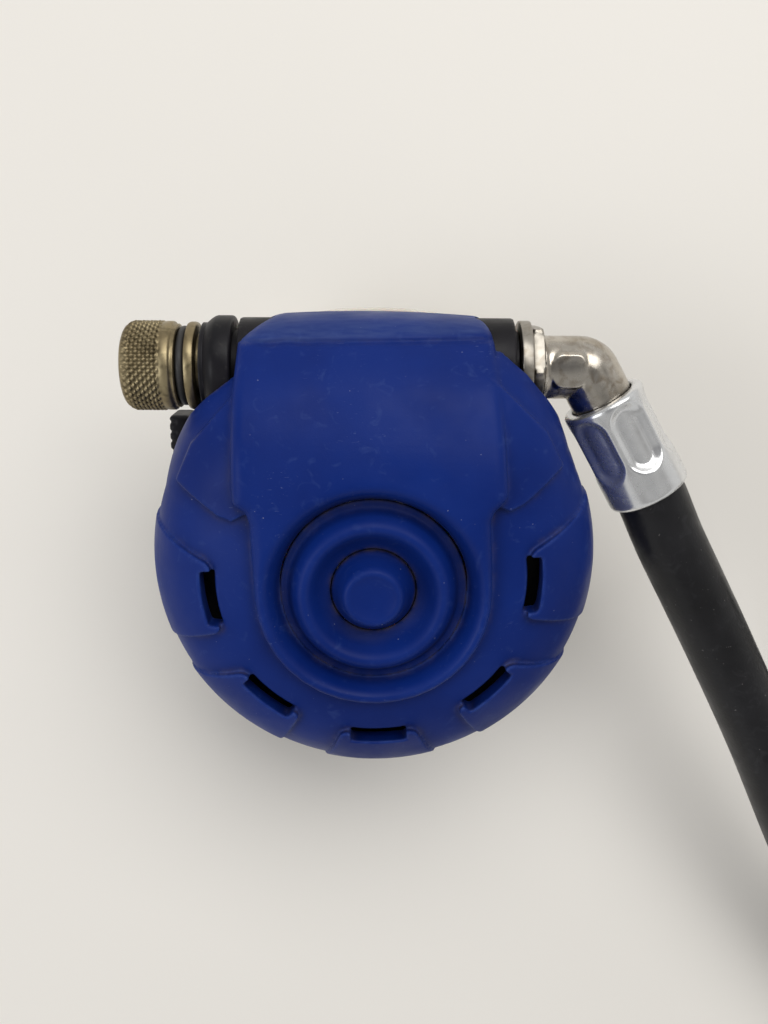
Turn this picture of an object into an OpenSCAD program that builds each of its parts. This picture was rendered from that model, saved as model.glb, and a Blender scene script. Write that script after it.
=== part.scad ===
// Scuba demand valve (second stage) with its low-pressure hose.
// It lies face up on a flat surface, tipped back on its mouthpiece and exhaust tee.
// The sub-parts are drawn in the case's own frame: origin at the middle of the cover's rim,
// +Z out of the cover, +X along the valve barrel towards the hose. posed() lays them down.

/* [Cover] */
// Radius of the cover's rim
cover_r = 38.7; // [38:0.1:39]
// Height of the cover's dome above its rim
dome_h = 20.5; // [20:0.25:22]
// Fullness of the dome: 2 is an ellipse, more is squarer
fullness = 2.7; // [2:0.1:3]
// Thickness of the rubber
cover_wall = 2; // [1.6:0.1:2.2]
// Half the width of the raised bib at its shoulders
bib_half_w = 22.6; // [22:0.2:23.4]
// Height of the bib above the rim
bib_z = 22.8; // [22:0.2:24]
// How far the soft cover sits turned on the case, in degrees
cover_twist = 2.4; // [0:0.2:4]
// Radius of the recess around the purge rings
recess_r = 17.6; // [17:0.1:18]
// How far the purge button travels
purge_travel = 4; // [2:0.5:4]

/* [Case] */
// Outer radius of the case
case_r = 35.7; // [35:0.1:35.8]
// Depth of the case behind the rim
case_depth = 22.5; // [22:0.5:25]
// Wall of the case
case_wall = 2.2; // [1.8:0.1:2.6]

/* [Barrel] */
// Distance from the rim's middle to the valve barrel's axis
barrel_y = 33; // [32.5:0.25:33.5]
// Radius of the valve tube
tube_r = 6.2; // [6:0.1:6.5]
// Radius of the bosses that hold the tube
boss_r = 8.5; // [8.3:0.1:8.8]
// Radius of the adjusting knob
knob_r = 7.7; // [7:0.1:8.2]
// Number of ridges around the knob
knob_ridges = 40; // [24:2:48]

/* [Inlet] */
// Turn of the elbow, in degrees
elbow_turn = 60; // [50:1:70]
// Radius of the elbow's tube
elbow_r = 5.4; // [5:0.1:5.6]
// Radius of the sleeve nut on the hose
sleeve_r = 7; // [6.8:0.1:7.4]
// Length of the sleeve nut
sleeve_l = 19.5; // [18:0.5:21]
// Number of finger dimples around the sleeve nut
dimples = 6; // [5:1:8]
// Outer diameter of the hose
hose_d = 12.5; // [12:0.1:13]

/* [Mouthpiece] */
// Upward tilt of the mouthpiece, in degrees
mouth_tilt = 20; // [18:1:22]
// Distance from the rim's middle up to the root of the mouthpiece
mouth_y = 19; // [18:0.5:20]
// Full width of the lip flange
flange_w = 58; // [54:1:60]
// Full height of the lip flange
flange_h = 28; // [26:1:30]

/* [Stance] */
// Backward tip of the whole valve on the surface, in degrees
tip = 16; // [14:0.5:18]

/* [Hidden] */
$fn = 96;
gap = 0.3;                       // room between parts that move past each other
fit = 0.05;                      // radial clearance of a shaft or a seat
rim = [-6.1, -5.55, 43.94];      // the middle of the rim above the middle of the footprint

skirt = 6;                       // how far the cover reaches behind its rim
inner_r = cover_r - cover_wall - 0.8;
membrane_r = 15;
membrane_z = 17.1;
button_r = 7;
button_top = 22.2;

diaphragm_z = 7;
diaphragm_r = 29.1;
disc_r = 11.6;
disc_z = 7.2;

boss_x = [-23.7, 24.5];
tube_bore = 4.6;
stem_r = 2.5;
spring_x = [-21.3, -14.8];
spring_turns = 5;
pivot = [-11.5, barrel_y, 4.4];  // the demand lever's hinge line, along Y

elbow_x = 36.5;
sleeve_s = 6.2;                  // from the elbow's corner to the sleeve nut
dimple_turn = 48;                // of the first dimple round the sleeve, in degrees
hose_s = 26.3;                   // and to the start of the bare hose

mouth_root = [0, mouth_y, -case_depth + 2];
neck_w = 30;
neck_h = 19;
neck_wall = 1.8;
port_y = -15;                    // the exhaust port's middle
port_r = 8.5;
vane_at = [-21.5, 12, -case_depth];

// Curves and frames

module posed() {
    translate(rim) rotate([tip, 0, 0]) children();
}

// Along the barrel: the child's Z axis becomes +X
module on_barrel(x = 0) {
    translate([x, barrel_y, 0]) rotate([0, 90, 0]) children();
}

// Along the hose at the elbow's outlet, s measured from the corner
module on_outlet(s = 0) {
    translate([elbow_x, barrel_y, 0]) rotate([0, 0, -elbow_turn])
        translate([s, 0, 0]) rotate([0, 90, 0]) children();
}

// Along the mouthpiece, s measured from its root, away from the case
module on_mouth(s = 0) {
    translate(mouth_root) rotate([mouth_tilt, 0, 0]) translate([0, 0, -s]) children();
}

module ring(outer, inner, h) {
    difference() {
        cylinder(r = outer, h = h);
        translate([0, 0, -1]) cylinder(r = inner, h = h + 2);
    }
}

module torus(mean_r, wire_r) {
    rotate_extrude() translate([mean_r, 0]) circle(r = wire_r, $fn = 24);
}

module oval(w, h) {
    translate([-(w - h) / 2, 0]) circle(d = h, $fn = 48);
    translate([(w - h) / 2, 0]) circle(d = h, $fn = 48);
    square([w - h, h], center = true);
}

// Points of the dome's side, from the rim to the middle
function dome(r, h, from = 0) = [for (a = [from:6:90])
    [r * pow(cos(a), 2 / fullness), h * pow(sin(a), 2 / fullness)]];

function unit(v) = v / norm(v);
function tangent(p, i) = unit(p[min(i + 1, len(p) - 1)] - p[max(i - 1, 0)]);

// A closed tube of radius r swept along the points p, with n sides; up is never along it
module swept(p, r, n, up) {
    last = len(p) - 1;
    rings = [for (i = [0:last]) let (t = tangent(p, i), u = unit(cross(t, up)), v = cross(u, t))
        [for (k = [0:n - 1]) p[i] + r * cos(360 * k / n) * u + r * sin(360 * k / n) * v]];
    sides = [for (i = [0:last - 1], k = [0:n - 1]) let (j = (k + 1) % n)
        [i * n + k, i * n + j, (i + 1) * n + j, (i + 1) * n + k]];
    polyhedron(points = [for (ring = rings, q = ring) q],
        faces = concat([[for (k = [n - 1:-1:0]) k]], sides, [[for (k = [0:n - 1]) last * n + k]]));
}

// A smooth curve through the points p, with m steps from each point to the next
function bent(p, m) = let (last = len(p) - 1) concat(
    [for (i = [0:last - 1], k = [0:m - 1]) let (t = k / m, a = p[max(i - 1, 0)], b = p[i],
        c = p[i + 1], d = p[min(i + 2, last)])
        0.5 * (2 * b + (c - a) * t + (2 * a - 5 * b + 4 * c - d) * t * t
            + (3 * b - a - 3 * c + d) * t * t * t)],
    [p[last]]);

// Cover and purge

module bib_outline() {
    polygon(concat([[-21, 50], [-bib_half_w, 12.6], [-20, 11]],
        [for (a = [180:10:360]) [19.3 * cos(a), 19.3 * sin(a) - 0.5]],
        [[20, 11], [bib_half_w, 12.6], [21, 50]]));
}

// The bib seen from the side, as [y, z]
module bib_side() {
    polygon([[-25, -skirt], [-25, bib_z - 1], [-19, bib_z - 0.4], [-10, bib_z], [12, bib_z],
        [22, bib_z - 2], [30, bib_z - 5.6], [35, bib_z - 9], [38.5, bib_z - 12], [41, 8.6],
        [42.6, 5], [43.2, 0], [42.6, -skirt]]);
}

module bib() {
    intersection() {
        translate([0, 0, -skirt]) linear_extrude(40) bib_outline();
        rotate([0, 0, 90]) rotate([90, 0, 0]) translate([0, 0, -30]) linear_extrude(60) bib_side();
    }
}

module cover_inside() {
    r = cover_r - cover_wall;
    h = dome_h - cover_wall;
    low = acos(pow(inner_r / r, fullness / 2));
    rotate_extrude() polygon(concat([[0, -skirt - 1], [inner_r, -skirt - 1]], dome(r, h, low),
        [[0, h]]));
}

module vent_slot(a, r = 27.7) {
    rotate([0, 0, a]) translate([r, 0, 14]) cube([2.4, 9.5, 14], center = true);
}

module front_cover() posed() color([0.10, 0.20, 0.55]) difference() {
    rotate([0, 0, cover_twist]) difference() {
        union() {
            rotate_extrude() polygon(concat([[0, -skirt], [cover_r - 0.8, -skirt]],
                dome(cover_r, dome_h)));
            bib();
        }
        cover_inside();
        translate([0, 0, 17.9]) cylinder(r1 = membrane_r + 0.2, r2 = recess_r, h = bib_z - 17.9);
        translate([0, 0, bib_z - 0.01]) cylinder(r = recess_r, h = 5);
        cylinder(r = membrane_r + 0.1, h = 20);
        for (a = [-90 - 83, -90 - 41.5, -90, -90 + 41.5, -90 + 83]) vent_slot(a);
    }
    on_barrel(-60) cylinder(r = boss_r + fit, h = 120);
    translate([-25, barrel_y, -skirt - 1]) cube([50, boss_r - 1, skirt + 1]);
}

module purge_membrane() posed() color([0.10, 0.20, 0.55]) rotate_extrude()
    polygon([[button_r + gap, 17.3], [9, 18.6], [11.4, 20.1], [13.3, 18.6], [14.2, membrane_z],
        [membrane_r, membrane_z], [membrane_r, membrane_z + 0.9], [14.6, membrane_z + 0.9],
        [13.6, 20.2], [12.6, 21.2], [11.4, 21.5], [10.2, 21.2], [9, 20.2], [8.2, 18.9],
        [button_r + gap, 18.4]]);

module purge_button() posed() color([0.11, 0.22, 0.58]) rotate_extrude()
    polygon([[0, disc_z + 1.3 + gap], [2.4, disc_z + 1.3 + gap], [2.4, 16.9], [5.8, 16.9],
        [button_r, 17.3], [button_r, 18.3], [6.2, 19], [5.3, 21.2], [4.4, button_top],
        [2.6, button_top - 0.2], [0, button_top - 0.5]]);

module cover_ring() posed() color([0.07, 0.07, 0.08]) {
    translate([0, 0, diaphragm_z + 1.2]) ring(diaphragm_r, 24.5, 1.8);
    translate([0, 0, diaphragm_z + 2.6]) ring(31.2, diaphragm_r - 0.5, 0.4);
}

// Diaphragm and demand lever

module diaphragm() posed() color([0.75, 0.75, 0.72]) rotate_extrude()
    polygon([[disc_r + gap, 7.4], [14, 7.4], [16, 6.2], [18, 5.9], [20, 6.4], [22, 7.2],
        [27, diaphragm_z], [diaphragm_r - fit, diaphragm_z], [diaphragm_r - fit, 8.2], [24, 8.2],
        [21.6, 8], [19.6, 7.2], [18, 6.7], [16.4, 7.1], [14.4, 8.2], [disc_r + gap, 8.2]]);

module diaphragm_disc() posed() color([0.7, 0.7, 0.72]) {
    translate([0, 0, disc_z]) cylinder(r = disc_r, h = 0.8);
    translate([0, 0, disc_z + 0.8]) cylinder(r = 5, h = 0.5);
}

module demand_lever() posed() color([0.72, 0.72, 0.74]) {
    // hinge bar across the slot in the tube
    translate([pivot.x, barrel_y - 3.4, pivot.z]) rotate([-90, 0, 0]) cylinder(r = 0.8, h = 6.8);
    for (side = [-1, 1])
        translate([pivot.x - 0.8, barrel_y + side * 2.9 - 0.4, 0.8]) cube([1.6, 0.8, pivot.z - 0.8]);
    // arm out of the tube, then over to the middle of the disc
    translate([pivot.x - 0.8, 22, pivot.z - 0.5]) cube([1.6, barrel_y - 25.6, 1]);
    translate([pivot.x - 0.8, 22, pivot.z - 0.5]) rotate([0, 0, -43]) {
        translate([0, -1, 0]) cube([27.5, 2, 1]);
        translate([27, 0, 0]) cylinder(r = 1.6, h = disc_z - gap - pivot.z + 0.5);
    }
}

// Case

module case_bowl_outer() {
    rotate_extrude() polygon([[0, -case_depth], [28, -case_depth], [32, -20], [35, -15],
        [case_r - 0.4, -9], [case_r, -6.5], [case_r, 2], [case_r - 1.4, 5.5], [31.5, 5.5], [31.5, 9.5],
        [0, 9.5]]);
}

module case_bowl_inner() {
    r = case_r - case_wall;
    rotate_extrude() polygon([[0, case_wall - case_depth], [27, case_wall - case_depth],
        [30.4, -18.4], [33, -14], [r, -6.5], [r, 0.6], [33.8, 3.3], [27, 4.2], [27, diaphragm_z],
        [diaphragm_r, diaphragm_z], [diaphragm_r, 10], [0, 10]]);
}

module case() posed() color([0.06, 0.06, 0.07]) difference() {
    union() {
        difference() {
            union() {
                case_bowl_outer();
                on_barrel(boss_x[0]) cylinder(r = boss_r, h = boss_x[1] - boss_x[0]);
                on_mouth(12) linear_extrude(12) oval(neck_w, neck_h);
                translate(vane_at - [0, 0, 1.5]) cylinder(r = 5, h = 3);
            }
            case_bowl_inner();
            on_mouth(14) linear_extrude(24) oval(neck_w - 2 * neck_wall, neck_h - 2 * neck_wall);
            translate([0, port_y, -case_depth - 1]) cylinder(r = port_r, h = 5);
        }
        // spokes and hub that carry the exhaust valve's stem
        for (a = [0, 60, 120]) translate([0, port_y, -case_depth + 1]) rotate([0, 0, a])
            cube([2 * port_r + 1, 1.6, 2], center = true);
        translate([0, port_y, -case_depth]) cylinder(r = 2.6, h = 2);
    }
    on_barrel(-40) cylinder(r = tube_r + fit, h = 80);
    // room for the collar at one end of the tube and the washer at the other
    on_barrel(boss_x[0] - 10) cylinder(r = boss_r, h = 10 - fit);
    on_barrel(boss_x[1]) cylinder(r = boss_r, h = 10);
    translate([0, port_y, -case_depth - 1]) cylinder(r = 1.3, h = 5);
    translate(vane_at - [0, 0, 3]) cylinder(r = 2.6 + fit, h = 8);
    // room for the demand lever under the shoulder
    translate([-15, 21, -2]) cube([7, 14, 8.2]);
}

// Valve barrel, from the knob at the left to the orifice at the right

module barrel() posed() color([0.08, 0.08, 0.09]) difference() {
    union() {
        on_barrel(-29.3) cylinder(r = tube_r, h = 53.6);
        on_barrel(-29.3) cylinder(r = 7.4, h = 0.8);
    }
    on_barrel(-27) cylinder(r = tube_bore, h = 60);
    on_barrel(-35) cylinder(r = stem_r + 0.1, h = 20);
    on_barrel(-28.6) cylinder(r = 3.8, h = 1.3);
    translate([-14.8, barrel_y - 4.3, 0]) cube([6.6, 8.6, 10]);
    translate([-14.8, barrel_y - 10, 1]) cube([6.6, 10, 10]);
}

module barrel_collar() posed() color([0.08, 0.08, 0.09]) difference() {
    union() {
        on_barrel(-28.4) cylinder(r1 = 7.2, r2 = 8.2, h = 0.9);
        on_barrel(-27.5) cylinder(r = 8.2, h = 3);
        on_barrel(-24.5) cylinder(r1 = 8.2, r2 = 7.6, h = 0.6);
    }
    on_barrel(-30) cylinder(r = tube_r + fit, h = 10);
}

module packing_collar() posed() color([0.62, 0.55, 0.40]) difference() {
    union() {
        on_barrel(-31.8) cylinder(r1 = 6.9, r2 = 7.4, h = 0.5);
        on_barrel(-31.3) cylinder(r = 7.4, h = 1.95);
        on_barrel(-33.2) cylinder(r = 4.6, h = 2);
    }
    on_barrel(-40) cylinder(r = stem_r + 0.1, h = 20);
}

module gland_o_ring() posed() color([0.03, 0.03, 0.03]) on_barrel(-27.95) torus(3.16, 0.6);

module knob() posed() color([0.55, 0.49, 0.34]) difference() {
    union() {
        on_barrel(-42.8) linear_extrude(7.2) polygon([for (i = [0:2 * knob_ridges - 1])
            (knob_r - (i % 2) * 0.45) * [cos(180 * i / knob_ridges), sin(180 * i / knob_ridges)]]);
        on_barrel(-35.6) cylinder(r = knob_r - 0.3, h = 2.2);
    }
    on_barrel(-34.8) cylinder(r = stem_r, h = 5);
    on_barrel(-43.3) cylinder(r = 4.8, h = 1);
}

module adjusting_stem() posed() color([0.65, 0.60, 0.45]) {
    on_barrel(-34.8) cylinder(r = stem_r, h = 8.5);
    on_barrel(-26.3) cylinder(r = 1.9, h = 3.3);
}

module stem_o_ring() posed() color([0.03, 0.03, 0.03]) on_barrel(-32.6) torus(5.4, 0.72);

module spring_pad() posed() color([0.75, 0.66, 0.40]) on_barrel(-24.4) ring(4.2, 2, 1.8);

module valve_spring() posed() color([0.75, 0.75, 0.78])
    swept([for (a = [0:24:360 * spring_turns]) [spring_x[0] + (spring_x[1] - spring_x[0]) * a
        / (360 * spring_turns), barrel_y + 3.3 * cos(a), 3.3 * sin(a)]], 0.35, 8, [1, 0, 0]);

module poppet() posed() color([0.80, 0.78, 0.70]) difference() {
    union() {
        on_barrel(-18.5) cylinder(r = 1.5, h = 27);
        on_barrel(8) cylinder(r = 4, h = 3.6);
    }
    on_barrel(10) cylinder(r = 3.2, h = 3);
}

module valve_seat() posed() color([0.05, 0.05, 0.05]) on_barrel(10) cylinder(r = 3.15, h = 1.4);

module lever_washer() posed() color([0.7, 0.7, 0.72]) on_barrel(-13.6) ring(3.9, 1.5, 0.8);

module lever_nut() posed() color([0.7, 0.7, 0.72]) on_barrel(-15.2) difference() {
    cylinder(r = 2.7, h = 1.6, $fn = 6);
    translate([0, 0, -1]) cylinder(r = 1.5, h = 4);
}

module orifice() posed() color([0.78, 0.68, 0.42]) difference() {
    union() {
        on_barrel(11.5) cylinder(r1 = 2.4, r2 = 2.8, h = 0.8);
        on_barrel(12.3) cylinder(r = 4.5, h = 10);
    }
    on_barrel(0) cylinder(r = 1.9, h = 40);
    on_barrel(16.9) ring(6, 3.4, 1.6);
}

module orifice_o_ring() posed() color([0.03, 0.03, 0.03]) on_barrel(17.7) torus(4, 0.55);

// Back of the case

module exhaust_valve() posed() color([0.72, 0.72, 0.68]) {
    translate([0, port_y, -case_depth - 0.9]) cylinder(r = port_r + 1.8, h = 0.8);
    translate([0, port_y, -case_depth - 0.2]) cylinder(r = 1.2, h = 4.2);
    translate([0, port_y, -case_depth + 3.4]) cylinder(r1 = 2, r2 = 1, h = 1.6);
}

module exhaust_tee() posed() color([0.06, 0.06, 0.06]) translate([0, port_y, -case_depth]) {
    difference() {
        union() {
            translate([0, -3, -7]) cube([34, 24, 12], center = true);
            translate([-27, -7, -9.2]) rotate([0, 90, 0]) cylinder(r = 7.4, h = 54);
        }
        translate([-30, -7, -9.2]) rotate([0, 90, 0]) cylinder(r = 5.8, h = 60);
        translate([0, -2.5, -6]) cube([30, 20, 8], center = true);
        translate([0, 0, -7]) cylinder(r = port_r + 2.3, h = 10);
    }
}

module mouthpiece() posed() color([0.72, 0.72, 0.70]) difference() {
    union() {
        on_mouth(13) linear_extrude(7.4) oval(neck_w + 4, neck_h + 4);
        on_mouth(24) linear_extrude(11.5) oval(neck_w + 1, neck_h - 1);
        on_mouth(25) linear_extrude(2.6) oval(flange_w, flange_h);
        for (side = [-1, 1]) {
            on_mouth(30) translate([side * 20.5, 0, 0]) linear_extrude(6)
                square([8, 8], center = true);
            on_mouth(31) translate([side * 20.5, 0, 0]) linear_extrude(3)
                square([8.6, 12], center = true);
        }
    }
    on_mouth(12.2) linear_extrude(14) oval(neck_w + 0.1, neck_h + 0.1);
    on_mouth(40) linear_extrude(40) oval(neck_w - 2 * neck_wall, neck_h - 2 * neck_wall - 1);
}

module mouthpiece_tie() posed() color([0.05, 0.05, 0.05]) {
    on_mouth(9.6) linear_extrude(3.2) difference() {
        oval(neck_w + 6.4, neck_h + 6.4);
        oval(neck_w + 4, neck_h + 4);
    }
    on_mouth(9.8) translate([-3, neck_h / 2 + 2, 0]) cube([6, 3, 3.6]);
}

module venturi_lever() posed() color([0.05, 0.05, 0.06]) {
    translate(vane_at - [0, 0, 3.8]) cylinder(r = 4.6, h = 2);
    translate(vane_at + [-18.5, -1.4, -3.8]) cube([18.5, 6, 2]);
    translate([-41.6, 12.6, -25.6]) cube([4, 7.6, 8.4]);
}

module venturi_vane() posed() color([0.6, 0.6, 0.62]) {
    translate(vane_at - [0, 0, 1.8]) cylinder(r = 2.6, h = 4.4);
    translate(vane_at + [-1, -0.6, 2.6]) cube([12, 1.2, 6]);
}

module venturi_screw() posed() color([0.65, 0.65, 0.67]) difference() {
    translate(vane_at - [0, 0, 5]) cylinder(r = 2, h = 1.2);
    translate(vane_at - [2.5, 0.3, 5.4]) cube([5, 0.6, 1]);
}

// Inlet, elbow and hose

module inlet_washer() posed() color([0.72, 0.70, 0.66]) on_barrel(boss_x[1] + 0.02)
    ring(7.9, 5.2, 2.1);

module inlet_nut() posed() color([0.72, 0.70, 0.66]) difference() {
    on_barrel(boss_x[1] + 2.15) cylinder(r = 7.85, h = 1.9, $fn = 6);
    on_barrel(20) cylinder(r = 5.2, h = 20);
}

module elbow() posed() color([0.70, 0.67, 0.62]) difference() {
    union() {
        on_barrel(22.6) cylinder(r = 4.4, h = 2.1);
        on_barrel(24.6) cylinder(r = 5.1, h = 4.7);
        on_barrel(29.2) cylinder(r = elbow_r, h = elbow_x - 29.2);
        translate([elbow_x, barrel_y, 0]) sphere(r = elbow_r + 0.4);
        on_outlet(0) cylinder(r = elbow_r, h = 13.7);
    }
    on_barrel(20) cylinder(r = 2.6, h = elbow_x - 20);
    translate([elbow_x, barrel_y, 0]) sphere(r = 3.1);
    on_outlet(0) cylinder(r = 2.6, h = 30);
    on_outlet(11) ring(8, 4.4, 1.8);
}

module elbow_o_ring() posed() color([0.03, 0.03, 0.03]) on_outlet(11.9) torus(4.95, 0.5);

module hose_nut() posed() color([0.80, 0.80, 0.82]) difference() {
    on_outlet(sleeve_s) union() {
        cylinder(r1 = sleeve_r - 0.5, r2 = sleeve_r, h = 0.8);
        translate([0, 0, 0.8]) cylinder(r = sleeve_r, h = sleeve_l - 2);
        translate([0, 0, sleeve_l - 1.2]) cylinder(r1 = sleeve_r, r2 = sleeve_r - 0.5, h = 1.2);
    }
    on_outlet(0) cylinder(r = elbow_r + 0.5 + fit, h = sleeve_s + sleeve_l + 5);
    for (i = [0:dimples - 1]) on_outlet(sleeve_s + 5.4) rotate([0, 0, dimple_turn + 360 * i / dimples])
        translate([sleeve_r + 1.4, 0, 0]) {
            cylinder(r = 2.2, h = 7);
            sphere(r = 2.2);
            translate([0, 0, 7]) sphere(r = 2.2);
        }
}

module hose_ferrule() posed() color([0.62, 0.60, 0.56])
    on_outlet(13.8) ring(5.8, 2.6, hose_s - 13.8);

// The hose's route from the ferrule, down towards the surface and over the coil's outer turn
HOSE_ROUTE = [[43.85, 3.64, 46.6], [47.4, -3.6, 44.6], [52.1, -12, 42.2], [56.6, -20, 39.8],
    [61, -28, 37.4], [65.3, -36, 35], [69.5, -44.2, 32.6], [73.5, -52.6, 30.2],
    [77.5, -61, 27.8], [81.7, -69.4, 25.6], [86.5, -77.6, 23.6], [92.3, -85.4, 21.8],
    [98.9, -92.8, 20.4], [106.3, -99.8, 19.2], [114.5, -106.4, 17.4], [123.5, -112.4, 15]];
coil_at = [163, -68, 0];         // the middle of the coil's spiral
coil_start = 242;                // where the spiral begins, in degrees
coil_turns = 1.4;
coil_r0 = 57.5;
coil_pitch = 12.9;
coil_end_a = coil_start + 360 * coil_turns;
coil_end_r = coil_r0 + coil_pitch * coil_turns;

module hose() color([0.05, 0.05, 0.055]) swept(bent(HOSE_ROUTE, 3), hose_d / 2, 12, [0, 0, 1]);

module hose_coil() color([0.05, 0.05, 0.055]) difference() {
    translate(coil_at + [4, -3, 0]) ring(79.6, 48.4, hose_d);
    on_end(16 - fit) cylinder(r = hose_d / 2 + 2, h = 60);
}

module on_end(s = 0) {
    translate(coil_at + [coil_end_r * cos(coil_end_a), coil_end_r * sin(coil_end_a), hose_d / 2])
        rotate([0, 0, coil_end_a]) rotate([-90, 0, 0]) translate([0, 0, s]) children();
}

module end_ferrule() color([0.70, 0.68, 0.64]) on_end(0) ring(6.25, 3, 16);

module end_fitting() color([0.72, 0.70, 0.66]) difference() {
    union() {
        on_end(16.02) cylinder(r = 7.2, h = 8, $fn = 6);
        on_end(24) cylinder(r = 6.1, h = 2);
        on_end(26) cylinder(r = 4, h = 3);
        on_end(28) cylinder(r = 4.76, h = 9);
    }
    on_end(15) cylinder(r = 2, h = 30);
}

module end_o_ring() color([0.03, 0.03, 0.03]) on_end(27) torus(4.6, 0.6);

front_cover();
purge_membrane();
purge_button();
cover_ring();
diaphragm();
diaphragm_disc();
case();
barrel();
barrel_collar();
packing_collar();
gland_o_ring();
knob();
adjusting_stem();
stem_o_ring();
spring_pad();
valve_spring();
poppet();
valve_seat();
lever_washer();
lever_nut();
orifice();
orifice_o_ring();
demand_lever();
exhaust_valve();
exhaust_tee();
mouthpiece();
mouthpiece_tie();
venturi_lever();
venturi_vane();
venturi_screw();
inlet_washer();
inlet_nut();
elbow();
elbow_o_ring();
hose_nut();
hose_ferrule();
hose();
hose_coil();
end_ferrule();
end_fitting();
end_o_ring();
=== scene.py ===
"""Looks of the scuba regulator set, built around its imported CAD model.

Shapes are worked out in millimetres in the frames of the CAD source: the case's own frame, the
cover's, and those along the barrel, the elbow's outlet, the mouthpiece and the hose's end.
"""

import math

import bpy
import numpy as np
import openvdb
from mathutils import Matrix, Vector


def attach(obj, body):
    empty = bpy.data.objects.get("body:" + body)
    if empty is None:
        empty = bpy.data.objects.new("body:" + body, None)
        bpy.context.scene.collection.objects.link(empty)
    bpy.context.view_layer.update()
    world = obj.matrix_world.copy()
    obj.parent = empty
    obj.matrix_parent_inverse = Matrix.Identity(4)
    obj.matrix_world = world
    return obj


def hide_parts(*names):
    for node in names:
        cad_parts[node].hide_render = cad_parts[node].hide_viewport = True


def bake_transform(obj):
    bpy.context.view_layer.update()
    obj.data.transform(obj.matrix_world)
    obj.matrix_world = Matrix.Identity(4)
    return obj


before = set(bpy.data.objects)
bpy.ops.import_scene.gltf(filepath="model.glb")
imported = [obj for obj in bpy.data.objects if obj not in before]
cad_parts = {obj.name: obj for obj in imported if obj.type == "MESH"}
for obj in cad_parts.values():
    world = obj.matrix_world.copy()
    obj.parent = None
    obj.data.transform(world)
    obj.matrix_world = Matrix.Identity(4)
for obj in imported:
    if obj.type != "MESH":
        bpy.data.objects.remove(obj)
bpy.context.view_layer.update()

MM = 0.001


def shift(x, y, z):
    return Matrix.Translation((x, y, z))


def turn(degrees, axis):
    return Matrix.Rotation(math.radians(degrees), 4, axis)


BARREL_Y = 33                    # from the rim's middle to the barrel's axis
ELBOW_X, ELBOW_TURN = 36.5, 60
COVER_TURN = 2.4                 # the soft cover sits a little turned on the case
MOUTH_Y, MOUTH_Z, MOUTH_TURN = 19, -20.5, 20
VENTURI_AT = (-21.5, 12, -22.5)
CASE = shift(-6.1, -5.55, 43.94) @ turn(16, "X")
COVER = CASE @ turn(COVER_TURN, "Z")
BARREL = CASE @ shift(0, BARREL_Y, 0) @ turn(90, "Y")
ELBOW = CASE @ shift(ELBOW_X, BARREL_Y, 0)
OUTLET = ELBOW @ turn(-ELBOW_TURN, "Z") @ turn(90, "Y")
MOUTH = CASE @ shift(0, MOUTH_Y, MOUTH_Z) @ turn(MOUTH_TURN, "X") @ turn(180, "X")
TEE = CASE @ shift(0, -22, -31.7) @ turn(90, "Y")


def metres(place, points):
    """Points of a frame, in mm, as metres in the model's frame."""
    m = np.array(place)
    return (np.asarray(points, float) @ m[:3, :3].T + m[:3, 3]) * MM


# Camera: above the valve, at the photograph's angle

CAMERA_TURN = turn(-0.24, "Z") @ turn(0.18, "Y") @ turn(15.42, "X")
camera_place = CASE @ CAMERA_TURN.inverted() @ shift(1.78, 6.6, 178.03)
camera_data = bpy.data.cameras.new("camera")
camera_data.lens = 34.35
camera_data.sensor_width = 36
camera_data.clip_start = 0.01
camera = bpy.data.objects.new("camera", camera_data)
bpy.context.scene.collection.objects.link(camera)
camera.matrix_world = (Matrix.Translation(camera_place.to_translation() * MM)
                       @ camera_place.to_quaternion().to_matrix().to_4x4())
bpy.context.scene.camera = camera


# Materials


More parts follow.
